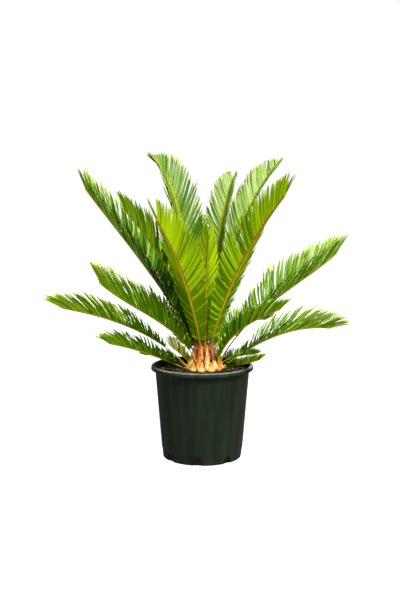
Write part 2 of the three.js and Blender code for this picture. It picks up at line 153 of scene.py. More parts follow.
# Fine ridges along a stub: their height as a share of its width, and how many go round it
STUB_RIDGE = 0.05
STUB_RIDGES = 5
STUB_RIDGE_TURN = 60
# How stubs scatter: round the stem as a share of their spacing, in degrees, height and size, and how
# far their points bend aside and outward
STUB_AROUND = 0.14
STUB_TILT = 2
STUB_LEVEL = 0.0015
STUB_CLEARANCE = 0.0006
STUB_LENGTHS = (0.86, 1.02)
STUB_WIDTHS = (0.88, 1.04)
STUB_SWAY = 0.09
STUB_CURL = (-0.03, 0.05)
# How dry stubs are, as a middle and a spread, and their colours from foot to point
STUB_DRYNESS = (0.4, 0.55)
STUB_FRESH_STOPS = [
    (0.0, "E4B458"), (0.22, "FADC8A"), (0.45, "F8D682"), (0.7, "F4BE66"), (0.9, "EC8C3C"), (1.0, "B85020"),
]
STUB_DRY_STOPS = [(0.0, "F4B440"), (0.3, "F08C1C"), (0.6, "E86808"), (0.85, "D44C08"), (1.0, "6A2408")]
# How narrow their red margins are
STUB_MARGIN_POWER = 6

# Wool: fine hairs, denser towards the top, with their feet at these shares of the stem's radius.
# splay, lean, bend: how they slant outward, slant any way and bow. rings: (share of the length, half
# width) below the tip. aside: gives an upright hair a side too.
WOOL_COUNT = 1600
WOOL_HEIGHTS = (0.244, 0.2885)
WOOL_CROWDING = 0.7
WOOL_DEPTHS = (0.6, 1.0)
WOOL_LENGTHS = (0.010, 0.028)
WOOL_SPLAY = (0.0, 0.5)
WOOL_LEAN = 0.3
WOOL_BEND = 0.25
WOOL_SIDES = 3
WOOL_RINGS = ((0.0, 0.00035), (0.5, 0.00026))
WOOL_ASIDE = Vector((0.01, 0.02, 0))

# Fronds, one row each. Angles are in degrees.
# heading: the way the frond points, anticlockwise from +X.
# turn: how far round the trunk its foot sits from that heading.
# seat: the height of its foot.
# rise, middle, end: the midrib's slope at its foot, halfway and at its tip.
# length: the midrib's. leaflet: the longest leaflet's. bare: the midrib's share below the leaflets.
# habit: how its leaflets stand. look: the name of its colours.
FROND_FIELDS = (
    "heading", "turn", "seat", "rise", "middle", "end", "length", "leaflet", "bare", "habit", "look",
)
FROND_ROWS = [
    (236, 4, 0.284, 78, 60, 49, 0.398, 0.104, 0.09, "young", "young"),
    (-47, 0, 0.284, 72, 57, 45, 0.482, 0.104, 0.09, "broad", "lush"),
    (278, -2, 0.284, 87, 80, 66, 0.315, 0.064, 0.12, "young", "young"),
    (124, 7, 0.284, 64, 75, 22, 0.583, 0.112, 0.12, "swept", "shaded"),
    (46, -5, 0.284, 84, 60, 38, 0.588, 0.094, 0.12, "upright", "glossy"),
    (56, 22, 0.284, 76, 77, 56, 0.482, 0.084, 0.12, "upright", "glossy"),
    (165, 2, 0.282, 64, 52, 52, 0.526, 0.112, 0.1, "open", "deep"),
    (200, 4, 0.283, 81, 61, 48, 0.425, 0.098, 0.12, "open", "deep"),
    (24, -5, 0.242, 62, 33, 37, 0.470, 0.118, 0.2, "raised", "bright"),
    (-20, -15, 0.241, 86, 39, 25, 0.244, 0.078, 0.14, "open", "mature"),
    (2, 0, 0.235, 38, 22, -7, 0.315, 0.108, 0.2, "open", "bright"),
    (200, 15, 0.234, 52, 26, 13, 0.386, 0.104, 0.26, "open", "bright"),
    (186, 44, 0.252, 70, 33, 44, 0.336, 0.112, 0.14, "raised", "bright"),
    (212, -15, 0.234, 24, 22, 14, 0.244, 0.084, 0.2, "open", "mature"),
    (-44, 16, 0.234, 30, 14, 26, 0.144, 0.046, 0.12, "open", "mature"),
    (194, 6, 0.247, 45, 41, 37, 0.080, 0.050, 0.14, "raised", "old"),
    (94, 13, 0.273, 72, 58, 34, 0.408, 0.095, 0.12, "open", "deep"),
    (142, 3, 0.275, 66, 52, 38, 0.400, 0.095, 0.12, "open", "deep"),
    (54, 6, 0.262, 42, 12, -8, 0.305, 0.085, 0.14, "open", "mature"),
    (134, -4, 0.260, 46, 24, 8, 0.300, 0.085, 0.14, "open", "mature"),
    (106, 0, 0.247, 50, 26, -2, 0.380, 0.100, 0.14, "open", "mature"),
    (38, 5, 0.236, 20, 6, -6, 0.140, 0.046, 0.16, "open", "mature"),
    (166, 0, 0.236, 32, 12, -2, 0.124, 0.042, 0.16, "open", "mature"),
]

# How leaflets stand, one row for each habit.
# angle, lift: degrees to the midrib, and up from flat into a V, at the foot and the tip of the
# leafy stretch.
# first, last: the first and the last leaflet's length, as a share of the longest's.
# full, late: where along the stretch they reach full length, and how late they shorten again.
# bend: how far they turn towards the frond's tip. stray, roll: degrees that they scatter and twist.
# width: theirs at the widest. slim: the lowest one's share of that.
# broad is young with wider leaflets.
HABIT_FIELDS = ("angle", "lift", "first", "full", "last", "late", "bend", "stray", "roll", "width", "slim")
HABIT_ROWS = {
    "young": ((72, 26), (-2, 58), 0.2, 0.5, 0.62, 1.5, 0.3, 1.6, 22, 0.0046, 0.42),
    "broad": ((72, 26), (-2, 58), 0.2, 0.5, 0.62, 1.5, 0.3, 1.6, 22, 0.0058, 0.42),
    "open": ((76, 26), (14, 58), 0.4, 0.3, 0.62, 1.5, 0.55, 3, 13, 0.0052, 0.8),
    "raised": ((74, 31), (34, 60), 0.3, 0.35, 0.6, 2, 0.5, 3.2, 13, 0.0052, 0.8),
    "upright": ((43, 38), (36, 44), 0.4, 0.3, 0.28, 2.5, 0.45, 2.4, 13, 0.0048, 0.6),
    "swept": ((46, 25), (36, 40), 0.4, 0.3, 0.25, 2, 0.3, 2.4, 13, 0.0048, 0.6),
}
HABITS = {name: dict(zip(HABIT_FIELDS, row)) for name, row in HABIT_ROWS.items()}

# Leaflets: pairs of pointed strips, one of each pair a little ahead, and closer towards the foot.
# On a frond whose longest is under full size they are closer and narrower.
LEAFLET_SPACING = 0.0041
LEAFLET_STAGGER = 0.25
LEAFLET_CROWDING = 1.25
LEAFLET_LIFT_POWER = 0.8
LEAFLET_THICKNESS = 0.0006
FULL_SIZE_LEAFLET = 0.085
SMALLEST_SCALE = 0.6
LAST_LEAFLET_SETBACK = 0.010
# Shares of the leafy stretch: where they reach full width, and where full length ends
WIDE_FROM = 0.5
FULL_TO = 0.6
# The share of its own length over which a leaflet takes its twist
TWISTED_FROM = 0.35
# A leaflet's root, aside and up from the midrib's middle as parts of the midrib's width and height
LEAFLET_ROOT = (0.36, 0.12)
# How leaflets scatter in lift (degrees), length and curl
LIFT_STRAY = 2.4
LENGTH_SPREAD = (0.95, 1.02)
CURL_STRAY = 0.05

# A leaflet's sections: (share of its length, part of its full half width)
LEAFLET_SECTIONS = [
    (0.0, 0.8), (0.07, 0.94), (0.22, 1.0), (0.45, 1.0), (0.66, 0.94), (0.84, 0.74), (0.95, 0.46),
]
# Round a section: (place across, height as part of the half width, side). The margins roll down.
LEAFLET_ROUND = [
    (-1, -0.26, 0), (0, -0.2, -1), (1, -0.26, 0), (0.55, 0.02, 1), (0, -0.04, 1), (-0.55, 0.02, 1),
]
# Which points are the margins, and which faces lie underneath
MARGIN_PLACES = (0, 2)
UNDER_SIDES = (0, 1)

# What a leaflet tries in turn where another frond is in its way: (its length's share, extra angle)
WAYS_ROUND = [(1, 0), (1, -5), (1, 5), (0.9, -9), (0.9, 9), (0.75, 0), (0.6, 0), (0.45, 0)]

# Room that leaflets leave round the trunk's stubs, and outside and above the pot's lip
STUBS_REACH = 0.010
STUBS_TOP = 0.300
LIP_MARGIN = 0.003
LIP_HEADROOM = 0.002

# Midribs: widest at the foot, and slimmer on the smallest fronds
MIDRIB_FOOT_WIDTH = 0.010
MIDRIB_WIDTH = 0.0054
MIDRIB_TIP_WIDTH = 0.0022
MIDRIB_FLARE = 0.022
MIDRIB_SLIMMEST = 0.7
MIDRIB_FLATNESS = 0.62
MIDRIB_SINK = 0.006
MIDRIB_STEPS = 80
MIDRIB_STRIP_STEPS = 24
MIDRIB_SIDES = 10
MIDRIB_FOOT_SHARES = [0.0, 0.008, 0.018, 0.03, 0.045, 0.06, 0.08, 0.1]
MIDRIB_RINGS = 44
# The swelling at the very foot, and the length over which it fades
MIDRIB_SWELL = 0.32
MIDRIB_SWELL_LENGTH = 0.010
# The groove along its upper side, as parts of its half height and half width
GROOVE_DEPTH = 0.3
GROOVE_WIDTH = 0.4

# Thorns, which the lowest leaflets become. way: onwards and up, to 1 aside. seat: how far out on the
# midrib. root: half its length and height. stretch: where on the bare part.
THORN_WAY = (0.7, 0.35)
THORN_SEAT = 0.8
THORN_ROOT = (0.0011, 0.0006)
THORN_SPACING = 0.009
THORN_STRETCH = (0.35, 0.97)
THORN_LENGTHS = (0.003, 0.011)
THORN_SPREAD = (0.8, 1.2)
THORN_STAGGER = 0.004
FEWEST_THORNS = 3

# Midribs' colours from foot to tip
YOUNG_STOPS = [
    (0.0, "CC8828"), (0.06, "B48C14"), (0.16, "CCAC1C"), (0.34, "ECDC34"), (0.6, "DCDC38"), (1.0, "BCD028"),
]
GLOSSY_STOPS = [
    (0.0, "C09048"), (0.07, "8C6C18"), (0.2, "6A6A08"), (0.45, "8C9A0C"), (0.75, "D0D024"), (1.0, "A0C020"),
]
DEEP_STOPS = [
    (0.0, "A89040"), (0.07, "808018"), (0.2, "6A7C0C"), (0.45, "8CA00C"), (0.8, "B0C418"), (1.0, "7CA814"),
]
MATURE_STOPS = [
    (0.0, "D0B040"), (0.08, "C8BC2C"), (0.22, "C8C820"), (0.5, "C8D41C"), (0.8, "C8D820"), (1.0, "9CC01C"),
]
# A frond's colours: upper sides, undersides, the roots and tips of leaflets, the upper sides'
# roughness and specular level, and the midrib's ramp
LOOKS = {
    "young": ("729C00 4E7A00 8CB608", "A4C800 6C9400 B8DA0A", "BE9408 BCCC1C", (0.5, 0.06), YOUNG_STOPS),
    "lush": ("749E00 4C7600 90BA0C", "90B800 608A00 A8D00C", "BE9408 B4C820", (0.5, 0.06), YOUNG_STOPS),
    "glossy": ("86A63A 507A10 A6BE62", "6A9204 527A00 7CA408", "B4B428 BCCC4C", (0.4, 0.22), GLOSSY_STOPS),
    "shaded": ("648C24 44700E 88A84C", "5E8604 4A7200 6E9608", "B0B424 B4C440", (0.4, 0.2), GLOSSY_STOPS),
    # deep: its dark upper tone is darkened further as painted shade for the lowest leaflets
    "deep": ("4C7C04 224800 94B84C", "669000 345A00 92B818", "A8B01C C0CC50", (0.5, 0.06), DEEP_STOPS),
    "mature": ("5C9004 386400 9CC44C", "6C9600 467400 90B80C", "BCC020 D4DC60", (0.46, 0.1), MATURE_STOPS),
    "bright": ("76A214 4A7A04 A8C85C", "8CB408 648E00 ACD020", "C4C828 DCE270", (0.46, 0.1), MATURE_STOPS),
    "old": ("CCD440 7C9414 F4EC98", "DCDC44 8AA018 F8F0A0", "E0B048 F4E898", (0.5, 0.06), MATURE_STOPS),
}
# How often a leaflet takes each of its look's tones, up to each share of the leafy stretch. Low on a frond
# the dark tone comes most, as painted shade deep in the crown, and towards the tip the light tone comes more
# often.
TONES = 3
TONE_SHARES = [(0.38, (2, 6, 0)), (0.7, (5, 3, 2)), (1, (4, 1, 4))]
UNDER_GLOSS = (0.6, 0.04)

# Lights: name, azimuth from the front to the right, elevation, strength and softness. Angles in degrees.
LIGHTS = [("key", 30, 50, 4.8, 20), ("fill", -12, 25, 0.5, 50), ("back", 165, 38, 0.9, 40)]
FLOOR_REACH = 6.0
FLOOR_GLOW = 0.92
WORLD_LIGHT = 0.14

# Camera
CAMERA_PLACE = (-0.0059, -2.1406, 0.6474)
CAMERA_DROP = 0.1082
CAMERA_LENS = 49.32
SENSOR_HEIGHT = 36


def lerp(a, b, share):
    return a + (b - a) * share


def flat_way(azimuth):
    """The level direction at an angle from +X."""
    return Vector((cos(azimuth), sin(azimuth), 0))


def linear(code):
    """A colour written as six hex digits, as linear numbers."""
    channels = [int(code[i:i + 2], 16) / 255 for i in (0, 2, 4)]
    return [c / 12.92 if c <= 0.04045 else ((c + 0.055) / 1.055) ** 2.4 for c in channels] + [1.0]


# Materials

def new_material(name, colour, roughness, specular, sheen=0.0):
    material = bpy.data.materials.new(name)
    material.use_nodes = True
    inputs = material.node_tree.nodes["Principled BSDF"].inputs
    inputs["Base Color"].default_value = linear(colour)
    inputs["Roughness"].default_value = roughness
    inputs["Specular IOR Level"].default_value = specular
    inputs["Sheen Weight"].default_value = sheen
    return material


def add_node(material, kind, values=None, links=None):
    """A new node with its input values, and links into it as {input: other node's output}."""
    node = material.node_tree.nodes.new("ShaderNode" + kind)
    for socket, value in (values or {}).items():
        node.inputs[socket].default_value = value
    for socket, output in (links or {}).items():
        material.node_tree.links.new(output, node.inputs[socket])
    return node


def object_place(material, stretch=(1, 1, 1)):
    """The point in the object's own coordinates, stretched."""
    place = add_node(material, "TexCoord").outputs["Object"]
    return add_node(material, "Mapping", {"Scale": stretch}, {"Vector": place}).outputs["Vector"]


def grain(material, scale, detail, stretch=(1, 1, 1)):
    """Noise between 0 and 1. scale: how many features a metre. detail: how many layers of finer ones."""
    values = {"Scale": scale, "Detail": detail}
    node = add_node(material, "TexNoise", values, {"Vector": object_place(material, stretch)})
    return node.outputs["Fac"]


def ramp(material, factor, stops):
    """A colour ramp of (place, hex colour) stops, driven by a factor."""
    node = add_node(material, "ValToRGB", links={"Fac": factor})
    elements = node.color_ramp.elements
    while len(elements) < len(stops):
        elements.new(0.5)
    for element, (place, colour) in zip(elements, stops):
        element.position = place
        element.color = linear(colour)
    return node.outputs["Color"]


def blend_colours(material, factor, one, other, mode="MIX"):
    node = add_node(material, "Mix")
    node.data_type = "RGBA"
    node.blend_type = mode
    sockets = {(socket.name, socket.type): socket for socket in node.inputs}
    for key, value in ((("Factor", "VALUE"), factor), (("A", "RGBA"), one), (("B", "RGBA"), other)):
        if isinstance(value, str):
            sockets[key].default_value = linear(value)
        elif isinstance(value, float):
            sockets[key].default_value = value
        else:
            material.node_tree.links.new(value, sockets[key])
    return next(socket for socket in node.outputs if socket.type == "RGBA")


def point_value(material, name):
    """A number that each point of the mesh carries."""
    node = add_node(material, "Attribute")
    node.attribute_name = name
    return node.outputs["Fac"]


def into_shader(material, socket, output):
    shader = material.node_tree.nodes["Principled BSDF"]
    material.node_tree.links.new(output, shader.inputs[socket])


def add_bump(material, height, strength, distance):
    values = {"Strength": strength, "Distance": distance}
    bump = add_node(material, "Bump", values, {"Height": height})
    into_shader(material, "Normal", bump.outputs["Normal"])


def leaf_material(name, colour, roughness, specular):
    material = new_material(name, colour, roughness, specular)
    add_bump(material, grain(material, 260, 3), strength=0.25, distance=0.0006)
    return material


def rachis_material(name, stops):
    """A midrib's colours from its foot to its tip, by the distance that each point carries."""
    material = new_material(name, stops[0][1], roughness=0.66, specular=0.1)
    colour = ramp(material, point_value(material, "along"), stops)
    mottle = ramp(material, grain(material, 90, 5), [(0.35, "8C8C8C"), (0.7, "FFFFFF")])
    into_shader(material, "Base Color", blend_colours(material, 0.45, colour, mottle, "MULTIPLY"))
    add_bump(material, grain(material, 420, 3), strength=0.3, distance=0.0005)
    return material


def stub_material():
    """Old leaf feet: cream and swollen below with orange-red margins, and drier to the point."""
    material = new_material("stub", "D89A58", roughness=0.6, specular=0.35)
    along = point_value(material, "along")
    fresh = ramp(material, along, STUB_FRESH_STOPS)
    dry = ramp(material, along, STUB_DRY_STOPS)
    colour = blend_colours(material, point_value(material, "dryness"), fresh, dry)
    colour = blend_colours(material, point_value(material, "edge"), colour, "D03C04")
    fibres = grain(material, 150, 6, stretch=(3.2, 3.2, 0.5))
    streaks = ramp(material, fibres, [(0.34, "A86434"), (0.56, "FFFFFF")])
    into_shader(material, "Base Color", blend_colours(material, 0.5, colour, streaks, "MULTIPLY"))
    add_bump(material, fibres, strength=0.5, distance=0.001)
    return material


def mottled_material(name, colour, gloss, mottle, stops, relief):
    """A material whose noise drives its colours and its bumps. gloss: roughness and specular level.
    mottle: the noise's scale, detail and stretch. relief: the bumps' strength and distance."""
    material = new_material(name, colour, *gloss)
    factor = grain(material, *mottle)
    into_shader(material, "Base Color", ramp(material, factor, stops))
    add_bump(material, factor, *relief)
    return material


def map_range(material, value, low, high, to_low=0.0, to_high=1.0):
    values = {"From Min": low, "From Max": high, "To Min": to_low, "To Max": to_high}
    return add_node(material, "MapRange", values, {"Value": value}).outputs["Result"]


def pot_material():
    """Moulded plastic: satin, with faint upright flow lines, dust, pale scuffs, and a lip painted dark at its
    foot as shade and pale along its top as a highlight, in patches.
    """
    material = new_material("pot_plastic", "151C14", roughness=0.55, specular=0.08)
    flow = grain(material, 14, 4, stretch=(3.0, 3.0, 0.25))
    body = ramp(material, flow, [(0.3, "131B12"), (0.7, "242E20")])
    dust = grain(material, 9, 7, stretch=(1, 1, 1.6))
    dust = ramp(material, dust, [(0.5, "000000"), (0.86, "262626")])
    dusty = blend_colours(material, dust, body, "565E4E")
    scuffs = grain(material, 320, 2, stretch=(1, 1, 0.35))
    scuffs = ramp(material, scuffs, [(0.72, "000000"), (0.8, "303030")])
    scuffed = blend_colours(material, scuffs, dusty, "7A8272")
    place = add_node(material, "SeparateXYZ", links={"Vector": object_place(material)})
    # Up the lip: painted shade at its foot rising to a painted highlight along its top
    up_lip = map_range(material, place.outputs["Z"], POT_HEIGHT - LIP_HEIGHT, POT_HEIGHT)
    lip = ramp(material, up_lip, LIP_PAINTED_LIGHT_STOPS)
    # Patches that break up the lip's painted shade and highlight
    lip_light_patches = grain(material, 60, 5, stretch=(1, 1, 2))
    lip_light_patches = ramp(material, lip_light_patches, [(0.3, "A8A8A8"), (0.62, "FFFFFF")])
    lip = blend_colours(material, 1.0, lip, lip_light_patches, "MULTIPLY")
    flat = add_node(material, "VectorMath", links={0: object_place(material, (1, 1, 0))})
    flat.operation = "LENGTH"
    outside = map_range(material, flat.outputs["Value"], *LIP_PAINTED_LIGHT_RADII)
    into_shader(material, "Base Color", blend_colours(material, outside, scuffed, lip))
    into_shader(material, "Roughness", map_range(material, flow, 0, 1, 0.48, 0.66))
    add_bump(material, grain(material, 700, 3), strength=0.18, distance=0.0006)
    return material


# Meshes

def add_object(name, data):
    thing = bpy.data.objects.new(name, data)
    bpy.context.scene.collection.objects.link(thing)
    return thing


class Skin:
    """The points and faces of one mesh, gathered piece by piece."""

    def __init__(self):
        self.points = []
        self.faces = []
        self.slots = []
        self.margins = set()
        self.values = {}

    def add_ring(self, ring, **values):
        """Adds a ring of points, each with the same named values, and gives their numbers."""
        first = len(self.points)
        self.points.extend(ring)
        for name, value in values.items():
            self.values.setdefault(name, {}).update({first + i: value for i in range(len(ring))})
        return list(range(first, first + len(ring)))

    def add_face(self, face, slot=0):
        self.faces.append(face)
        self.slots.append(slot)

    def join_rings(self, one, other, slots=(0,)):
        """Quads between two rings of the same size, which take the materials in turn."""
        for i in range(len(one)):
            j = (i + 1) % len(one)
            self.add_face((one[i], one[j], other[j], other[i]), slots[i % len(slots)])

    def close_to_point(self, ring, tip, slot=0):
        for one, other in zip(ring, ring[1:] + ring[:1]):
            self.add_face((one, other, tip), slot)

    def to_object(self, name, materials, smooth=True):
        mesh = bpy.data.meshes.new(name)
        mesh.from_pydata([tuple(p) for p in self.points], [], self.faces)
        for material in materials:
            mesh.materials.append(material)
        mesh.polygons.foreach_set("material_index", self.slots)
        mesh.polygons.foreach_set("use_smooth", [smooth] * len(self.faces))
        for value_name, by_point in self.values.items():
            attribute = mesh.attributes.new(value_name, "FLOAT", "POINT")
            attribute.data.foreach_set("value", [by_point.get(i, 0.0) for i in range(len(self.points))])
        if self.margins:
            for edge in mesh.edges:
                one, other = edge.vertices
                edge.use_edge_sharp = one in self.margins and other in self.margins
        mesh.update()
        return add_object(name, mesh)


def place_piece(piece, slot, *nodes):
    """Hangs a piece on the body and hides the parts that it stands for."""
    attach(piece, BODY)
    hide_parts(*nodes)


def turns(sides):
    """The angles of a ring's points."""
    return [2 * pi * i / sides for i in range(sides)]


def lathe(skin, profile, sides, x=0.0):
    """Turns (radius, height) points about an upright axis. Points on the axis are single."""
    rings = []
    for radius, height in profile:
        angles = turns(sides) if radius else [0]
        ring = [Vector((x + radius * cos(a), radius * sin(a), height)) for a in angles]
        rings.append(skin.add_ring(ring))
    for low, high in zip(rings, rings[1:]):
        if len(low) == 1:
            skin.close_to_point(high[::-1], low[0])
        elif len(high) == 1:
            skin.close_to_point(low, high[0])
        else:
            skin.join_rings(low, high)


def arc(radius, height, bend, start, end, steps=5):
    """Points of a rounded corner about (radius, height), from one angle to another in degrees."""
    angles = [radians(lerp(start, end, i / steps)) for i in range(steps + 1)]
    return [(radius + bend * cos(a), height + bend * sin(a)) for a in angles]


# Pot and soil

def pot_radius(height):
    return lerp(BASE_RADIUS, NECK_RADIUS, height / (POT_HEIGHT - LIP_HEIGHT))


def pot_profile():
    """The pot's outline, from the middle of its underside round the lip to the middle of its floor."""
    profile = [(0.0, UNDERSIDE_RECESS)]
    for radius in UNDERSIDE_RINGS:
        profile += [(radius + out, UNDERSIDE_RECESS - down) for out, down in UNDERSIDE_RING]
    profile += [(FOOT_RING_RADIUS, UNDERSIDE_RECESS), (FOOT_RING_RADIUS + FOOT_RING_SLOPE, 0.0)]
    profile += arc(BASE_RADIUS - FOOT_BAND_STEP - FOOT_ROUND, FOOT_ROUND, FOOT_ROUND, -90, 0)
    band_top = pot_radius(FOOT_BAND_HEIGHT)
    below, above = FOOT_BAND_EDGE
    profile += [(band_top - FOOT_BAND_STEP, FOOT_BAND_HEIGHT - below), (band_top, FOOT_BAND_HEIGHT + above)]
    lip_foot = POT_HEIGHT - LIP_HEIGHT
    fillet_foot = lip_foot - LIP_FILLET
    for i in range(1, WALL_STEPS):
        height = lerp(FOOT_BAND_HEIGHT, fillet_foot, i / WALL_STEPS)
        profile.append((pot_radius(height), height))
    inner, outer = LIP_FILLET_RADII
    profile += [(NECK_RADIUS + inner, fillet_foot), (NECK_RADIUS + outer, lip_foot)]
    profile += arc(RIM_RADIUS - LIP_ROUND, lip_foot + LIP_ROUND, LIP_ROUND, -90, 0)
    step_foot, step_top = [POT_HEIGHT - LIP_ROLL * rolls for rolls in LIP_STEP_ROLLS]
    profile += [(RIM_RADIUS, step_foot), (RIM_RADIUS - LIP_STEP, step_top)]
    roll_height = POT_HEIGHT - LIP_ROLL
    profile += arc(RIM_RADIUS - LIP_STEP - LIP_ROLL, roll_height, LIP_ROLL, 0, 90, LIP_ROLL_STEPS)
    profile += arc(NECK_RADIUS + MOUTH_STEP + LIP_ROLL, roll_height, LIP_ROLL, 90, 180, LIP_ROLL_STEPS)
    profile += [(NECK_RADIUS - WALL, lip_foot - MOUTH_DROP), (pot_radius(WALL) - WALL, WALL), (0.0, WALL)]
    return profile


def notch_cutter():
    """Eight arched prisms where the drain notches are cut round the pot's foot."""
    skin = Skin()
    half = NOTCH_WIDTH / 2
    outline = [(-half, -NOTCH_HEIGHT), (half, -NOTCH_HEIGHT)]
    outline += arc(half - NOTCH_ROUND, NOTCH_HEIGHT - NOTCH_ROUND, NOTCH_ROUND, 0, 90)
    outline += arc(NOTCH_ROUND - half, NOTCH_HEIGHT - NOTCH_ROUND, NOTCH_ROUND, 90, 180)
    for i in range(NOTCH_COUNT):
        outward = flat_way(radians(NOTCH_AZIMUTH + 360 * i / NOTCH_COUNT))
        sideways = Vector((-outward.y, outward.x, 0))
        inner, outer = [
            skin.add_ring([outward * reach + sideways * x + UP * z for x, z in outline])
            for reach in (BASE_RADIUS - NOTCH_DEPTH, BASE_RADIUS + NOTCH_DEPTH)
        ]
        skin.join_rings(inner, outer)
        skin.add_face(inner[::-1])
        skin.add_face(outer)
    return skin.to_object("notch_cutter", [])


def crease_pot(mesh):
    """Shades smooth, with a crease wherever two faces meet at a sharp angle."""
    model = bmesh.new()
    model.from_mesh(mesh)
    for face in model.faces:
        face.smooth = True
    for edge in model.edges:
        edge.smooth = len(edge.link_faces) == 2 and edge.calc_face_angle(0.0) < radians(POT_CREASE)
    model.to_mesh(mesh)
    model.free()


def make_pot():
    skin = Skin()
    lathe(skin, pot_profile(), POT_SIDES)
    pot = skin.to_object("pot_shell", [pot_material()])
    cutter = notch_cutter()
    cut = pot.modifiers.new("notches", "BOOLEAN")
    cut.operation = "DIFFERENCE"
    cut.solver = "EXACT"
    cut.object = cutter
    graph = bpy.context.evaluated_depsgraph_get()
    shown = bpy.data.meshes.new_from_object(pot.evaluated_get(graph))
    pot.modifiers.clear()
    pot.data = shown
    bpy.data.objects.remove(cutter)
    crease_pot(shown)
    place_piece(pot, "pot", "pot")


def make_soil():
    """The fill of the pot, with a lumpy top."""
    foot = WALL + SEAT_GAP
    edge = pot_radius(SOIL_TOP) - WALL - SOIL_CLEARANCE
    profile = [(0.0, foot), (pot_radius(foot) - WALL - SOIL_CLEARANCE, foot)]
    profile += [(edge, SOIL_TOP - SOIL_SHOULDER)]
    profile += [(edge * (SOIL_RINGS - i) / SOIL_RINGS, SOIL_TOP) for i in range(SOIL_RINGS + 1)]
    skin = Skin()
    lathe(skin, profile, SOIL_SIDES)
    for point in skin.points:
        if point.z > SOIL_TOP - RIPPLE_MARGIN and point.to_2d().length < edge - RIPPLE_MARGIN:
            point.z += sum(height * noise.noise(point * count) for height, count in SOIL_RIPPLES)
    stops = [(0.3, "100B07"), (0.55, "32241A"), (0.8, "64503A")]
    mix = mottled_material("soil_mix", "2E1A13", (0.95, 0.2), (160, 8), stops, (0.9, 0.003))
    place_piece(skin.to_object("soil_fill", [mix]), "soil", "soil")


def make_chips():
    """Bits of bark lying flat on the soil, round the trunk."""
    rng = random.Random(SEED)
    fibre = (240, 5, (1, 2.5, 1))
    materials = [
        mottled_material(f"chip_{name}", dark, (0.88, 0.25), fibre, [(0.3, dark), (0.7, pale)], (0.6, 0.0012))
        for name, dark, pale in CHIP_TONES
    ]
    skin = Skin()
    edge = pot_radius(SOIL_TOP) - WALL - CHIP_WALL_MARGIN
    made = 0
    while made < CHIP_COUNT:
        reach = edge * sqrt(rng.random())
        azimuth = rng.uniform(0, 2 * pi)
        middle = Vector((reach * cos(azimuth), reach * sin(azimuth), SOIL_TOP))
        if hypot(middle.x - TRUNK_X, middle.y) < TRUNK_PROFILE[0][0] + CHIP_TRUNK_MARGIN:
            continue
        size = lerp(*CHIP_SIZES, rng.random() ** CHIP_SMALLNESS)
        thickness = size * rng.uniform(*CHIP_THICKNESS)
        tilt = Euler((rng.gauss(0, CHIP_TILT), rng.gauss(0, CHIP_TILT), rng.uniform(0, 2 * pi))).to_matrix()
        middle.z += thickness * rng.uniform(*CHIP_RISE)
        shape = [size * rng.uniform(*CHIP_HALF_WIDTH) for _ in range(CHIP_SIDES)]
        rings = []
        for level, share in CHIP_LEVELS:
            ring = []
            for a, half in zip(turns(CHIP_SIDES), shape):
                flat = Vector((cos(a) * half, sin(a) * half * CHIP_SLIMNESS, 0)) * share
                ring.append(middle + tilt @ (flat + UP * thickness * level))
            rings.append(skin.add_ring(ring))
        slot = rng.choices((0, 1, 2), CHIP_KINDS)[0]
        skin.join_rings(rings[0], rings[1], (slot,))
        skin.join_rings(rings[1], rings[2], (slot,))
        skin.add_face(rings[0][::-1], slot)
        skin.add_face(rings[2], slot)
        made += 1
    place_piece(skin.to_object("soil_chips", materials, smooth=False), "soil", "soil")


# Trunk

def trunk_radius(height):
    for (low_radius, low), (high_radius, high) in zip(TRUNK_PROFILE, TRUNK_PROFILE[1:]):
        if height <= high:
            return lerp(low_radius, high_radius, (height - low) / (high - low))
    return 0.0


def make_stem():
    """The stem itself, which shows only as dark gaps between the stubs."""
    top = TRUNK_PROFILE[-1][1]
    heights = [lerp(TRUNK_FOOT, top, i / TRUNK_RINGS) for i in range(TRUNK_RINGS)]
    profile = [(0, TRUNK_FOOT), *[(trunk_radius(height), height) for height in heights], (0, top)]
    skin = Skin()
    lathe(skin, profile, TRUNK_SIDES, TRUNK_X)
    for point in skin.points:
        if point.z > TRUNK_FOOT + RIPPLE_MARGIN:
            outward = Vector((point.x - TRUNK_X, point.y, 0))
            point += outward * TRUNK_RIPPLE * noise.noise(point * TRUNK_RIPPLE_COUNT)
    stops = [(0.35, "24100A"), (0.7, "6B3A20")]
    bark = mottled_material("stem", "3A1E12", (0.9, 0.2), (130, 6), stops, (0.8, 0.003))
    place_piece(skin.to_object("trunk_stem", [bark]), "trunk", "trunk")


def stub_width(share):
    """A stub's width at a share of its length, as part of its full width."""
    for (low, low_part), (high, high_part) in zip(STUB_SHAPE, STUB_SHAPE[1:]):
        if share <= high:
            place = (share - low) / (high - low)
            return lerp(low_part, high_part, place * place * (3 - 2 * place))


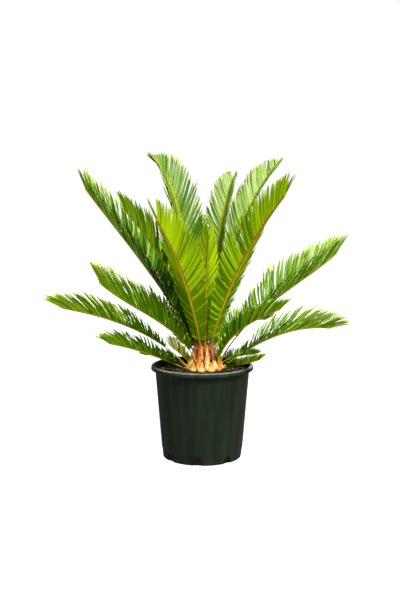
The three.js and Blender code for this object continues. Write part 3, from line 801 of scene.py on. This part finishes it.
def add_stub(skin, rng, foot, along, outward, length, width):
    """One old leaf's foot: a fleshy bulb that narrows to a long, dry, pointed strip."""
    sideways = along.cross(outward).normalized()
    outward = sideways.cross(along).normalized()
    dryness = min(max(rng.gauss(*STUB_DRYNESS), 0), 1)
    sway = rng.uniform(-STUB_SWAY, STUB_SWAY)
    curl = rng.uniform(*STUB_CURL)
    rings = []
    for i in range(STUB_RINGS):
        share = STUB_LAST_RING * i / (STUB_RINGS - 1)
        centre = foot + along * length * share - outward * curl * length * share ** 2
        centre += sideways * sway * length * share ** 2
        half_width = width / 2 * stub_width(share)
        half_depth = width / 2 * STUB_FLATNESS * stub_width(share) * lerp(1.0, STUB_THINNING, share)
        numbers = []
        for a in turns(STUB_SIDES):
            bulge = 1.0 if sin(a) > 0 else STUB_BACK
            ridge = 1 + STUB_RIDGE * sin(STUB_RIDGES * a + STUB_RIDGE_TURN * sway)
            point = centre + sideways * cos(a) * half_width * ridge
            point += outward * sin(a) * half_depth * bulge * ridge
            edge = cos(a) ** STUB_MARGIN_POWER * (1 - share)
            numbers += skin.add_ring([point], along=share, dryness=dryness, edge=edge)
        rings.append(numbers)
    skin.add_face(rings[0])
    for low, high in zip(rings, rings[1:]):
        skin.join_rings(high, low)
    tip = foot + along * length - outward * curl * length + sideways * sway * length
    tip_number = skin.add_ring([tip], along=1.0, dryness=dryness, edge=1.0)[0]
    skin.close_to_point(rings[-1][::-1], tip_number)


def make_stubs():
    rng = random.Random(SEED + 1)
    skin = Skin()
    for row, (height, count, length, lean, width) in enumerate(STUB_ROWS):
        for i in range(count):
            place = i + (row % 2) / 2 + rng.uniform(-STUB_AROUND, STUB_AROUND)
            outward = flat_way(place / count * 2 * pi)
            tilt = radians(lean + rng.uniform(-STUB_TILT, STUB_TILT))
            along = UP * cos(tilt) + outward * sin(tilt)
            level = max(height + rng.uniform(-STUB_LEVEL, STUB_LEVEL), TRUNK_FOOT + STUB_CLEARANCE)
            foot = Vector((TRUNK_X, 0, level)) + outward * (trunk_radius(height) - STUB_SINK)
            size = (length * rng.uniform(*STUB_LENGTHS), width * rng.uniform(*STUB_WIDTHS))
            add_stub(skin, rng, foot, along, outward, *size)
    place_piece(skin.to_object("trunk_stubs", [stub_material()]), "trunk", "trunk")


def make_wool():
    """Short brown hairs that stand between the stubs near the crown."""
    rng = random.Random(SEED + 2)
    skin = Skin()
    for _ in range(WOOL_COUNT):
        outward = flat_way(rng.uniform(0, 2 * pi))
        height = lerp(*WOOL_HEIGHTS, rng.random() ** WOOL_CROWDING)
        foot = Vector((TRUNK_X, 0, height)) + outward * trunk_radius(height) * rng.uniform(*WOOL_DEPTHS)
        lean = Vector((rng.gauss(0, WOOL_LEAN), rng.gauss(0, WOOL_LEAN), 0))
        way = (UP + outward * rng.uniform(*WOOL_SPLAY) + lean).normalized()
        bend = Vector((rng.gauss(0, WOOL_BEND), rng.gauss(0, WOOL_BEND), 0))
        length = rng.uniform(*WOOL_LENGTHS)
        side = way.cross(UP + bend + WOOL_ASIDE).normalized()
        other = way.cross(side)
        rings = []
        for share, half in WOOL_RINGS:
            centre = foot + way * length * share + bend * length * share ** 2
            ring = [centre + (side * cos(a) + other * sin(a)) * half for a in turns(WOOL_SIDES)]
            rings.append(skin.add_ring(ring))
        tip = skin.add_ring([foot + way * length + bend * length])[0]
        skin.add_face(rings[0][::-1])
        skin.join_rings(rings[0], rings[1])
        skin.close_to_point(rings[1], tip)
    material = new_material("wool", "A8612E", roughness=0.9, specular=0.15, sheen=0.4)
    tint = ramp(material, grain(material, 60, 3), [(0.3, "7A3E1C"), (0.7, "C98A4A")])
    into_shader(material, "Base Color", tint)
    place_piece(skin.to_object("trunk_wool", [material]), "trunk", "trunk")


# Fronds

class Frond:
    """One frond's row, with its midrib's points."""

    def __init__(self, number, row):
        for name, value in zip(FROND_FIELDS, row):
            setattr(self, name, value)
        self.name = f"frond_{number:02d}"
        self.rng = random.Random(SEED * 100 + number)
        self.scale = min(max(self.leaflet / FULL_SIZE_LEAFLET, SMALLEST_SCALE), 1)
        azimuth = radians(self.heading + self.turn)
        reach = trunk_radius(self.seat)
        seat = Vector((TRUNK_X + reach * cos(azimuth), reach * sin(azimuth), self.seat))
        point = seat - self.frame(0)[0] * MIDRIB_SINK
        step = (self.length + MIDRIB_SINK) / MIDRIB_STEPS
        self.points = [point]
        for i in range(MIDRIB_STEPS):
            point = point + self.frame((i + 0.5) / MIDRIB_STEPS)[0] * step
            self.points.append(point)

    def frame(self, share):
        """The midrib's directions at a share of its length: onwards, to its left, and up across it."""
        slope = radians(
            self.rise * (1 - share) * (1 - 2 * share)
            + self.middle * 4 * share * (1 - share)
            + self.end * share * (2 * share - 1)
        )
        heading = radians(self.heading)
        onward = Vector((cos(slope) * cos(heading), cos(slope) * sin(heading), sin(slope)))
        left = UP.cross(onward).normalized()
        return onward, left, onward.cross(left)

    def point(self, share):
        place = min(max(share, 0), 1) * MIDRIB_STEPS
        low = min(int(place), MIDRIB_STEPS - 1)
        return self.points[low].lerp(self.points[low + 1], place - low)

    def width(self, share):
        flare = (MIDRIB_FOOT_WIDTH - MIDRIB_WIDTH) * exp(-share * self.length / MIDRIB_FLARE)
        return lerp(MIDRIB_WIDTH, MIDRIB_TIP_WIDTH, share) * lerp(MIDRIB_SLIMMEST, 1, self.scale) + flare


def leaflet_taper(habit, along):
    """A leaflet's length at its share of the leafy stretch, as part of the longest one's."""
    if along < habit["full"]:
        return lerp(habit["first"], 1, along / habit["full"])
    if along < FULL_TO:
        return 1.0
    return lerp(1, habit["last"], ((along - FULL_TO) / (1 - FULL_TO)) ** habit["late"])


class Leaflet:
    """The rings of points and the tip of one leaflet, before it is added to a mesh."""

    def __init__(self, frond, along, side, chance, stretch, extra_angle):
        setback = LAST_LEAFLET_SETBACK * frond.scale / frond.length
        share = lerp(frond.bare, 1 - setback, along)
        onward, left, across = frond.frame(share)
        habit = HABITS[frond.habit]
        angle = radians(lerp(*habit["angle"], along) + chance["angle"] + extra_angle)
        lift = radians(lerp(*habit["lift"], along ** LEAFLET_LIFT_POWER) + chance["lift"])
        outward = left * side * cos(lift) + across * sin(lift)
        first = onward * cos(angle) + outward * sin(angle)
        last = (first + onward * habit["bend"] + across * chance["curl"]).normalized()
        upper = onward.cross(first).normalized() * side
        length = frond.leaflet * leaflet_taper(habit, along) * stretch * chance["length"]
        half = habit["width"] * frond.scale / 2 * lerp(habit["slim"], 1, min(along / WIDE_FROM, 1))
        width = frond.width(share)
        aside, rise = LEAFLET_ROOT
        root = frond.point(share) + left * side * width * aside + across * width * MIDRIB_FLATNESS * rise
        roll = -side * radians(chance["roll"])
        thick = LEAFLET_THICKNESS / 2
        self.rings = []
        for t, part in LEAFLET_SECTIONS:
            centre, way = self.spine(root, first, last, length, t)
            up = (upper - way * upper.dot(way)).normalized()
            edgewise = up.cross(way)
            twist = roll * min(t / TWISTED_FROM, 1)
            wide = edgewise * cos(twist) + up * sin(twist)
            high = up * cos(twist) - edgewise * sin(twist)
            reach = half * part
            self.rings.append([
                centre + wide * reach * x + high * (reach * y + thick * level)
                for x, y, level in LEAFLET_ROUND
            ])
        self.tip = self.spine(root, first, last, length, 1.0)[0]

    @staticmethod
    def spine(root, first, last, length, t):
        """The leaflet's middle line, which turns evenly from one direction to the other."""
        place = root + (first * (t - t * t / 2) + last * (t * t / 2)) * length
        return place, first.lerp(last, t).normalized()

    def blade(self):
        """Its margins and tip as a flat strip: points and triangles, for finding what it meets."""
        points = []
        faces = []
        for ring in self.rings[1:]:
            points += [ring[k] for k in MARGIN_PLACES]
        points.append(self.tip)
        last = len(points) - 1
        for i in range(0, last - 2, 2):
            faces += [(i, i + 1, i + 3), (i, i + 3, i + 2)]
        faces.append((last - 2, last - 1, last))
        return points, faces

    def add_to(self, skin, upper, under, root, tip):
        """Adds the closed leaflet, with materials for its upper and under side, its root and its tip."""
        rings = []
        for ring in self.rings:
            rings.append(skin.add_ring(ring))
            skin.margins.update(rings[-1][k] for k in MARGIN_PLACES)
        skin.add_face(rings[0][::-1], root)
        skin.join_rings(rings[0], rings[1], (root,))
        blade = [under if k in UNDER_SIDES else upper for k in range(len(LEAFLET_ROUND))]
        for low, high in zip(rings[1:-2], rings[2:-1]):
            skin.join_rings(low, high, blade)
        skin.join_rings(rings[-2], rings[-1], (tip,))
        point = skin.add_ring([self.tip])[0]
        skin.margins.add(point)
        skin.close_to_point(rings[-1], point, tip)


def clear_of_pot(points):
    """Whether all the points stay off the trunk's stubs, the soil and the pot's lip."""
    for point in points:
        stubs_radius = trunk_radius(max(point.z - STUBS_REACH, TRUNK_FOOT)) + STUBS_REACH
        if hypot(point.x - TRUNK_X, point.y) < stubs_radius and point.z < STUBS_TOP:
            return False
        over_pot = point.to_2d().length < RIM_RADIUS + LIP_MARGIN
        if over_pot and point.z < POT_HEIGHT + LIP_HEADROOM:
            return False
    return True


def make_thicket(blades):
    """What stands already, for keeping new leaflets from passing through it."""
    points = []
    faces = []
    for blade_points, blade_faces in blades:
        first = len(points)
        points += blade_points
        faces += [tuple(first + i for i in face) for face in blade_faces]
    return BVHTree.FromPolygons(points, faces)


def midrib_blades(frond):
    """The midrib as two crossed strips, for finding what meets it."""
    points = []
    faces = []
    for i in range(MIDRIB_STRIP_STEPS + 1):
        share = i / MIDRIB_STRIP_STEPS
        _, left, across = frond.frame(share)
        half = frond.width(share) / 2
        centre = frond.point(share)
        points += [centre + way * half for way in (left, -left, across, -across)]
    for i in range(MIDRIB_STRIP_STEPS):
        a = i * 4
        faces += [(a, a + 1, a + 5, a + 4), (a + 2, a + 3, a + 7, a + 6)]
    return points, faces


def look_materials():
    """Each look's leaf materials, upper sides first and ends last, and its midrib's material."""
    materials = {}
    for look, (upper, under, ends, gloss, stops) in LOOKS.items():
        parts = [("upper", upper, gloss), ("under", under, UNDER_GLOSS), ("ends", ends, UNDER_GLOSS)]
        leaves = [
            leaf_material(f"leaf_{look}_{part}_{i + 1}", colour, *shine)
            for part, codes, shine in parts for i, colour in enumerate(codes.split())
        ]
        materials[look] = (leaves, rachis_material(f"rachis_{look}", stops))
    return materials


def grow_leaflets(frond, thicket, leaves):
    """Adds a frond's leaflets as one mesh and gives their blades. Each leans aside, is shorter or is
    left out where another frond is in the way."""
    rng = frond.rng
    habit = HABITS[frond.habit]
    count = round(frond.length * (1 - frond.bare) / (LEAFLET_SPACING * frond.scale))
    skin = Skin()
    kept = []
    root = 2 * TONES
    for i in range(count):
        for side in (1, -1):
            along = min(max((i + side * LEAFLET_STAGGER) / (count - 1), 0), 1) ** LEAFLET_CROWDING
            chance = {
                "angle": rng.gauss(0, habit["stray"]),
                "lift": rng.gauss(0, LIFT_STRAY),
                "length": rng.uniform(*LENGTH_SPREAD),
                "roll": rng.gauss(habit["roll"], habit["roll"] / 2),
                "curl": rng.gauss(0, CURL_STRAY),
            }
            # The dark tone falls mostly on the lowest leaflets, as painted shade
            shares = next(shares for end, shares in TONE_SHARES if along <= end)
            tone = rng.choices(range(TONES), shares)[0]
            tip = rng.choices((TONES + tone, root + 1), (1, 1))[0]
            for stretch, extra_angle in WAYS_ROUND:
                leaflet = Leaflet(frond, along, side, chance, stretch, extra_angle)
                points, faces = leaflet.blade()
                if clear_of_pot(points) and not thicket.overlap(BVHTree.FromPolygons(points, faces)):
                    leaflet.add_to(skin, tone, TONES + tone, root, tip)
                    kept.append((points, faces))
                    break
    place_piece(skin.to_object(f"{frond.name}_leaflets", leaves), "frond", frond.name)
    return kept


def midrib_ring(frond, share, swell):
    """A rounded section of the midrib with a shallow groove along its upper side."""
    _, left, across = frond.frame(share)
    centre = frond.point(share)
    half_width = frond.width(share) / 2 * swell
    half_height = half_width * MIDRIB_FLATNESS
    ring = []
    for k in range(MIDRIB_SIDES):
        a = 2 * pi * (k + 0.5) / MIDRIB_SIDES
        x = cos(a)
        y = sin(a)
        groove = GROOVE_DEPTH * exp(-(x / GROOVE_WIDTH) ** 2) if y > 0 else 0.0
        ring.append(centre + left * x * half_width + across * (y - groove) * half_height)
    return ring


def add_thorn(skin, frond, share, side, length):
    """A four-sided point that stands aside from the midrib."""
    onward, left, across = frond.frame(share)
    forward, rise = THORN_WAY
    way = (left * side + onward * forward + across * rise).normalized()
    root = frond.point(share) + left * side * (frond.width(share) / 2) * THORN_SEAT
    wide = onward * THORN_ROOT[0]
    high = way.cross(onward).normalized() * THORN_ROOT[1]
    ring = skin.add_ring([root + wide, root + high, root - wide, root - high], along=share)
    tip = skin.add_ring([root + way * length], along=share)[0]
    if (high - wide).cross(-2 * wide).dot(way) < 0:
        ring = ring[::-1]
    skin.close_to_point(ring, tip)
    skin.add_face(ring[::-1])


def make_midrib(frond, material):
    """The midrib from its swollen foot among the stubs to its tip, with thorns below the leaflets."""
    skin = Skin()
    last = MIDRIB_FOOT_SHARES[-1]
    further = [lerp(last, 1, i / MIDRIB_RINGS) for i in range(1, MIDRIB_RINGS + 1)]
    rings = []
    for share in MIDRIB_FOOT_SHARES + further:
        swell = 1 + MIDRIB_SWELL * exp(-share * frond.length / MIDRIB_SWELL_LENGTH)
        rings.append(skin.add_ring(midrib_ring(frond, share, swell), along=share))
    skin.add_face(rings[0][::-1])
    for low, high in zip(rings, rings[1:]):
        skin.join_rings(low, high)
    skin.add_face(rings[-1])
    thorns = max(int(frond.length * frond.bare / THORN_SPACING), FEWEST_THORNS)
    start, end = THORN_STRETCH
    for i in range(thorns):
        share = lerp(frond.bare * start, frond.bare * end, i / thorns)
        for side in (1, -1):
            length = lerp(*THORN_LENGTHS, i / thorns) * frond.rng.uniform(*THORN_SPREAD) * frond.scale
            add_thorn(skin, frond, share + frond.rng.uniform(0, THORN_STAGGER), side, length)
    place_piece(skin.to_object(f"{frond.name}_rachis", [material]), "frond", frond.name)


def make_fronds():
    fronds = [Frond(i + 1, row) for i, row in enumerate(FROND_ROWS)]
    materials = look_materials()
    midribs = {frond.name: midrib_blades(frond) for frond in fronds}
    standing = []
    for frond in fronds:
        others = [midribs[other.name] for other in fronds if other is not frond]
        leaves, rachis = materials[frond.look]
        standing += grow_leaflets(frond, make_thicket(standing + others), leaves)
        make_midrib(frond, rachis)


make_pot()
make_soil()
make_chips()
make_stem()
make_stubs()
make_wool()
make_fronds()


# Floor, lights and camera

def make_floor():
    """Pale, and bright enough where the camera sees it that shadows hardly show."""
    material = new_material("floor_pale", "A8A8A8", roughness=0.95, specular=0.0)
    seen = add_node(material, "LightPath").outputs["Is Camera Ray"]
    into_shader(material, "Emission Strength", map_range(material, seen, 0, 1, 0, FLOOR_GLOW))
    mesh = bpy.data.meshes.new("floor")
    corners = [(x * FLOOR_REACH, y * FLOOR_REACH, 0) for x, y in ((-1, -1), (1, -1), (1, 1), (-1, 1))]
    mesh.from_pydata(corners, [], [(0, 1, 2, 3)])
    mesh.materials.append(material)
    floor = add_object("floor", mesh)


def make_world():
    """A white studio. What the camera sees of it is full white, and its light is softer."""
    world = bpy.data.worlds.new("studio")
    world.use_nodes = True
    background = world.node_tree.nodes["Background"]
    background.inputs["Color"].default_value = (1, 1, 1, 1)
    seen = add_node(world, "LightPath").outputs["Is Camera Ray"]
    brightness = map_range(world, seen, 0, 1, WORLD_LIGHT, 1)
    world.node_tree.links.new(brightness, background.inputs["Strength"])
    bpy.context.scene.world = world


def make_light(name, azimuth, elevation, strength, softness):
    """A far, wide, soft light."""
    a = radians(azimuth)
    e = radians(elevation)
    way = Vector((sin(a) * cos(e), -cos(a) * cos(e), sin(e)))
    light = bpy.data.lights.new(name, "SUN")
    light.energy = strength
    light.angle = radians(softness)
    add_object(name, light).rotation_euler = way.to_track_quat("Z", "Y").to_euler()


def make_camera():
    data = bpy.data.cameras.new("camera")
    data.lens = CAMERA_LENS
    data.sensor_fit = "VERTICAL"
    data.sensor_height = SENSOR_HEIGHT
    camera = add_object("camera", data)
    camera.location = CAMERA_PLACE
    camera.rotation_euler = (pi / 2 - CAMERA_DROP, 0, 0)
    bpy.context.scene.camera = camera


make_floor()
make_world()
for light_row in LIGHTS:
    make_light(*light_row)
make_camera()
bpy.context.scene.view_settings.view_transform = "Standard"
